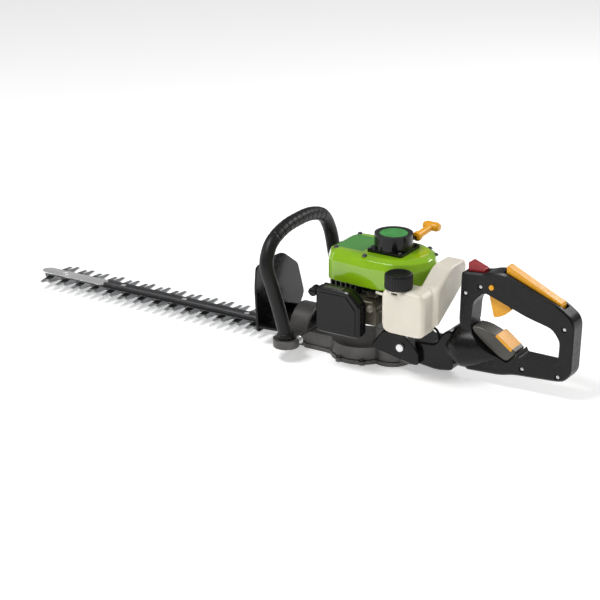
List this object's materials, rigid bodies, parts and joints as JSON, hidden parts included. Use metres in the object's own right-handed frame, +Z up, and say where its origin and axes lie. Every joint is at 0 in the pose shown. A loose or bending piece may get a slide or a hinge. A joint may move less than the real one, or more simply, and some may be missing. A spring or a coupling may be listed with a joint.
{
  "type": "petrol hedge trimmer",
  "caption": "Petrol hedge trimmer with a double-sided reciprocating blade, front loop handle, hand guard, recoil starter and swivelling rear handle.",
  "frame": {"origin": "on the flat underside of the gear case cover, straight below the vertical crankshaft", "axes": "+X to the rear handle, -X to the blade tip, -Y to the air filter side, +Z up"},
  "size_m": [1.1102, 0.2396, 0.2365],
  "materials": {
    "blade_steel": "ground steel, matt",
    "bright_steel": "bright zinc-plated",
    "dark_steel": "dark oxide",
    "cast_alloy": "die-cast, sand-blasted",
    "black_plastic": "fine eroded texture",
    "gloss_black": "glossy",
    "rubber_grip": "soft matt rubber",
    "lime_plastic": "high gloss",
    "amber_plastic": "semi-gloss",
    "red_plastic": "semi-gloss",
    "tank_plastic": "translucent white, satin",
    "grey_plastic": "satin",
    "filter_foam": "open-cell foam",
    "brass_parts": "cast, slightly dull"
  },
  "bodies": {
    "engine_frame": {"gear_case": "cast_alloy", "bottom_cover": "cast_alloy", "guide_bar": "dark_steel", "tip_plate": "bright_steel", "blade_bolt_1": "bright_steel", "blade_bolt_2": "bright_steel", "blade_bolt_3": "bright_steel", "blade_bolt_4": "bright_steel", "crankcase": "cast_alloy", "cylinder": "cast_alloy", "piston": "cast_alloy", "ignition_coil": "black_plastic", "spark_plug": "bright_steel", "ignition_lead": "rubber_grip", "muffler": "dark_steel", "muffler_guard": "black_plastic", "intake_block": "black_plastic", "carburettor": "brass_parts", "filter_base": "black_plastic", "filter_element": "filter_foam", "filter_cover": "black_plastic", "top_cover": "lime_plastic", "starter_housing": "gloss_black", "recoil_spring": "blade_steel", "fuel_tank": "tank_plastic", "fuel_line": "tank_plastic", "fuel_strainer": "brass_parts", "swivel_base": "black_plastic", "base_bolt": "bright_steel", "throttle_cable": "rubber_grip", "front_handle": "rubber_grip", "handle_bracket": "cast_alloy", "hand_guard": "black_plastic"},
    "upper_blade": {"upper_blade": "blade_steel"},
    "lower_blade": {"lower_blade": "blade_steel"},
    "crank_gear": {"crank_gear": "blade_steel"},
    "upper_rod": {"upper_rod": "blade_steel"},
    "lower_rod": {"lower_rod": "blade_steel"},
    "clutch_drum": {"clutch_drum": "blade_steel"},
    "crank": {"crankshaft": "blade_steel", "clutch_hub": "dark_steel", "flywheel": "cast_alloy"},
    "clutch_shoe_a": {"clutch_shoe_a": "dark_steel"},
    "clutch_shoe_b": {"clutch_shoe_b": "dark_steel"},
    "engine_rod": {"engine_rod": "blade_steel"},
    "starter_reel": {"starter_reel": "black_plastic"},
    "pull_handle": {"pull_handle": "amber_plastic", "pull_rope": "rubber_grip"},
    "fuel_cap": {"fuel_cap": "black_plastic"},
    "choke_knob": {"choke_knob": "black_plastic"},
    "primer_bulb": {"primer_bulb": "tank_plastic"},
    "rear_handle": {"handle_left": "black_plastic", "handle_right": "black_plastic"},
    "stop_switch": {"stop_switch": "red_plastic"},
    "lockout_lever": {"lockout_lever": "amber_plastic"},
    "throttle_trigger": {"throttle_trigger": "amber_plastic"},
    "lock_button": {"lock_button": "amber_plastic"},
    "swivel_release": {"swivel_release": "grey_plastic"}
  },
  "joints": [
    {"name": "gear_spin", "type": "hinge", "parent": "engine_frame", "child": "crank_gear", "pos_m": [-0.0602, 0, 0.0175], "axis": [0, 0, 1], "continuous": true},
    {"name": "drum_spin", "type": "hinge", "parent": "engine_frame", "child": "clutch_drum", "pos_m": [0, 0, 0.05], "axis": [0, 0, 1], "continuous": true},
    {"name": "upper_rod_turn", "type": "hinge", "parent": "crank_gear", "child": "upper_rod", "pos_m": [-0.0602, 0.0085, 0.0225], "axis": [0, 0, 1], "continuous": true},
    {"name": "lower_rod_turn", "type": "hinge", "parent": "crank_gear", "child": "lower_rod", "pos_m": [-0.0602, -0.0085, 0.012], "axis": [0, 0, 1], "continuous": true},
    {"name": "upper_blade_slide", "type": "slide", "parent": "engine_frame", "child": "upper_blade", "axis": [1, 0, 0], "range_m": [-0.0085, 0.0085]},
    {"name": "lower_blade_slide", "type": "slide", "parent": "engine_frame", "child": "lower_blade", "axis": [1, 0, 0], "range_m": [-0.0085, 0.0085]},
    {"name": "crank_spin", "type": "hinge", "parent": "engine_frame", "child": "crank", "pos_m": [0, 0, 0.108], "axis": [0, 0, 1], "continuous": true},
    {"name": "engine_rod_turn", "type": "hinge", "parent": "crank", "child": "engine_rod", "pos_m": [-0.014, 0, 0.108], "axis": [0, 0, 1], "continuous": true},
    {"name": "clutch_shoe_a_out", "type": "slide", "parent": "crank", "child": "clutch_shoe_a", "axis": [0, 1, 0], "range_m": [0, 0.0008], "stiffness_N_per_m": 800, "springref_m": -0.0005},
    {"name": "clutch_shoe_b_out", "type": "slide", "parent": "crank", "child": "clutch_shoe_b", "axis": [0, -1, 0], "range_m": [0, 0.0008], "stiffness_N_per_m": 800, "springref_m": -0.0005},
    {"name": "starter_pull", "type": "slide", "parent": "engine_frame", "child": "pull_handle", "axis": [0.1, 0.9851, 0.14], "range_m": [0, 0.6], "stiffness_N_per_m": 10, "springref_m": -0.1},
    {"name": "reel_spin", "type": "hinge", "parent": "engine_frame", "child": "starter_reel", "pos_m": [0, 0, 0.22], "axis": [0, 0, 1], "range_deg": [0, 1440]},
    {"name": "fuel_cap_turn", "type": "hinge", "parent": "engine_frame", "child": "fuel_cap", "pos_m": [0.056, -0.08, 0.18], "axis": [0, 0, 1], "range_deg": [0, 360]},
    {"name": "choke_turn", "type": "hinge", "parent": "engine_frame", "child": "choke_knob", "pos_m": [-0.103, -0.09, 0.137], "axis": [0, -1, 0], "range_deg": [0, 75]},
    {"name": "primer_press", "type": "slide", "parent": "engine_frame", "child": "primer_bulb", "axis": [0, 1, 0], "range_m": [0, 0.004], "stiffness_N_per_m": 600, "springref_m": -0.001},
    {"name": "handle_swivel", "type": "hinge", "parent": "engine_frame", "child": "rear_handle", "pos_m": [0.1452, 0, 0.059], "axis": [0.989, 0, 0.1478], "range_deg": [-90, 90]},
    {"name": "stop_switch_rock", "type": "hinge", "parent": "rear_handle", "child": "stop_switch", "pos_m": [0.165, 0, 0.196], "axis": [0, -1, 0], "range_deg": [0, 12]},
    {"name": "lockout_press", "type": "hinge", "parent": "rear_handle", "child": "lockout_lever", "pos_m": [0.32, 0, 0.1635], "axis": [0, -1, 0], "range_deg": [0, 5], "stiffness_Nm_per_rad": 1, "springref_deg": -3.44},
    {"name": "trigger_pull", "type": "hinge", "parent": "rear_handle", "child": "throttle_trigger", "pos_m": [0.192, 0, 0.172], "axis": [0, -1, 0], "range_deg": [0, 22], "stiffness_Nm_per_rad": 0.3, "springref_deg": -8.59},
    {"name": "lock_button_press", "type": "slide", "parent": "rear_handle", "child": "lock_button", "axis": [0, 1, 0], "range_m": [0, 0.002], "stiffness_N_per_m": 600, "springref_m": -0.001},
    {"name": "release_pull", "type": "hinge", "parent": "rear_handle", "child": "swivel_release", "pos_m": [0.167, 0, 0.099], "axis": [0, -1, 0], "range_deg": [0, 10], "stiffness_Nm_per_rad": 0.6, "springref_deg": -5.73}
  ],
  "couplings": [
    {"joint": "drum_spin", "follows": "gear_spin", "ratio": -4},
    {"joint": "upper_rod_turn", "follows": "gear_spin", "ratio": -1},
    {"joint": "lower_rod_turn", "follows": "gear_spin", "ratio": -1},
    {"joint": "lower_blade_slide", "follows": "upper_blade_slide", "ratio": -1},
    {"joint": "engine_rod_turn", "follows": "crank_spin", "ratio": -1},
    {"joint": "clutch_shoe_b_out", "follows": "clutch_shoe_a_out", "ratio": 1},
    {"joint": "reel_spin", "follows": "starter_pull", "rad_per_m": 41.667}
  ]
}
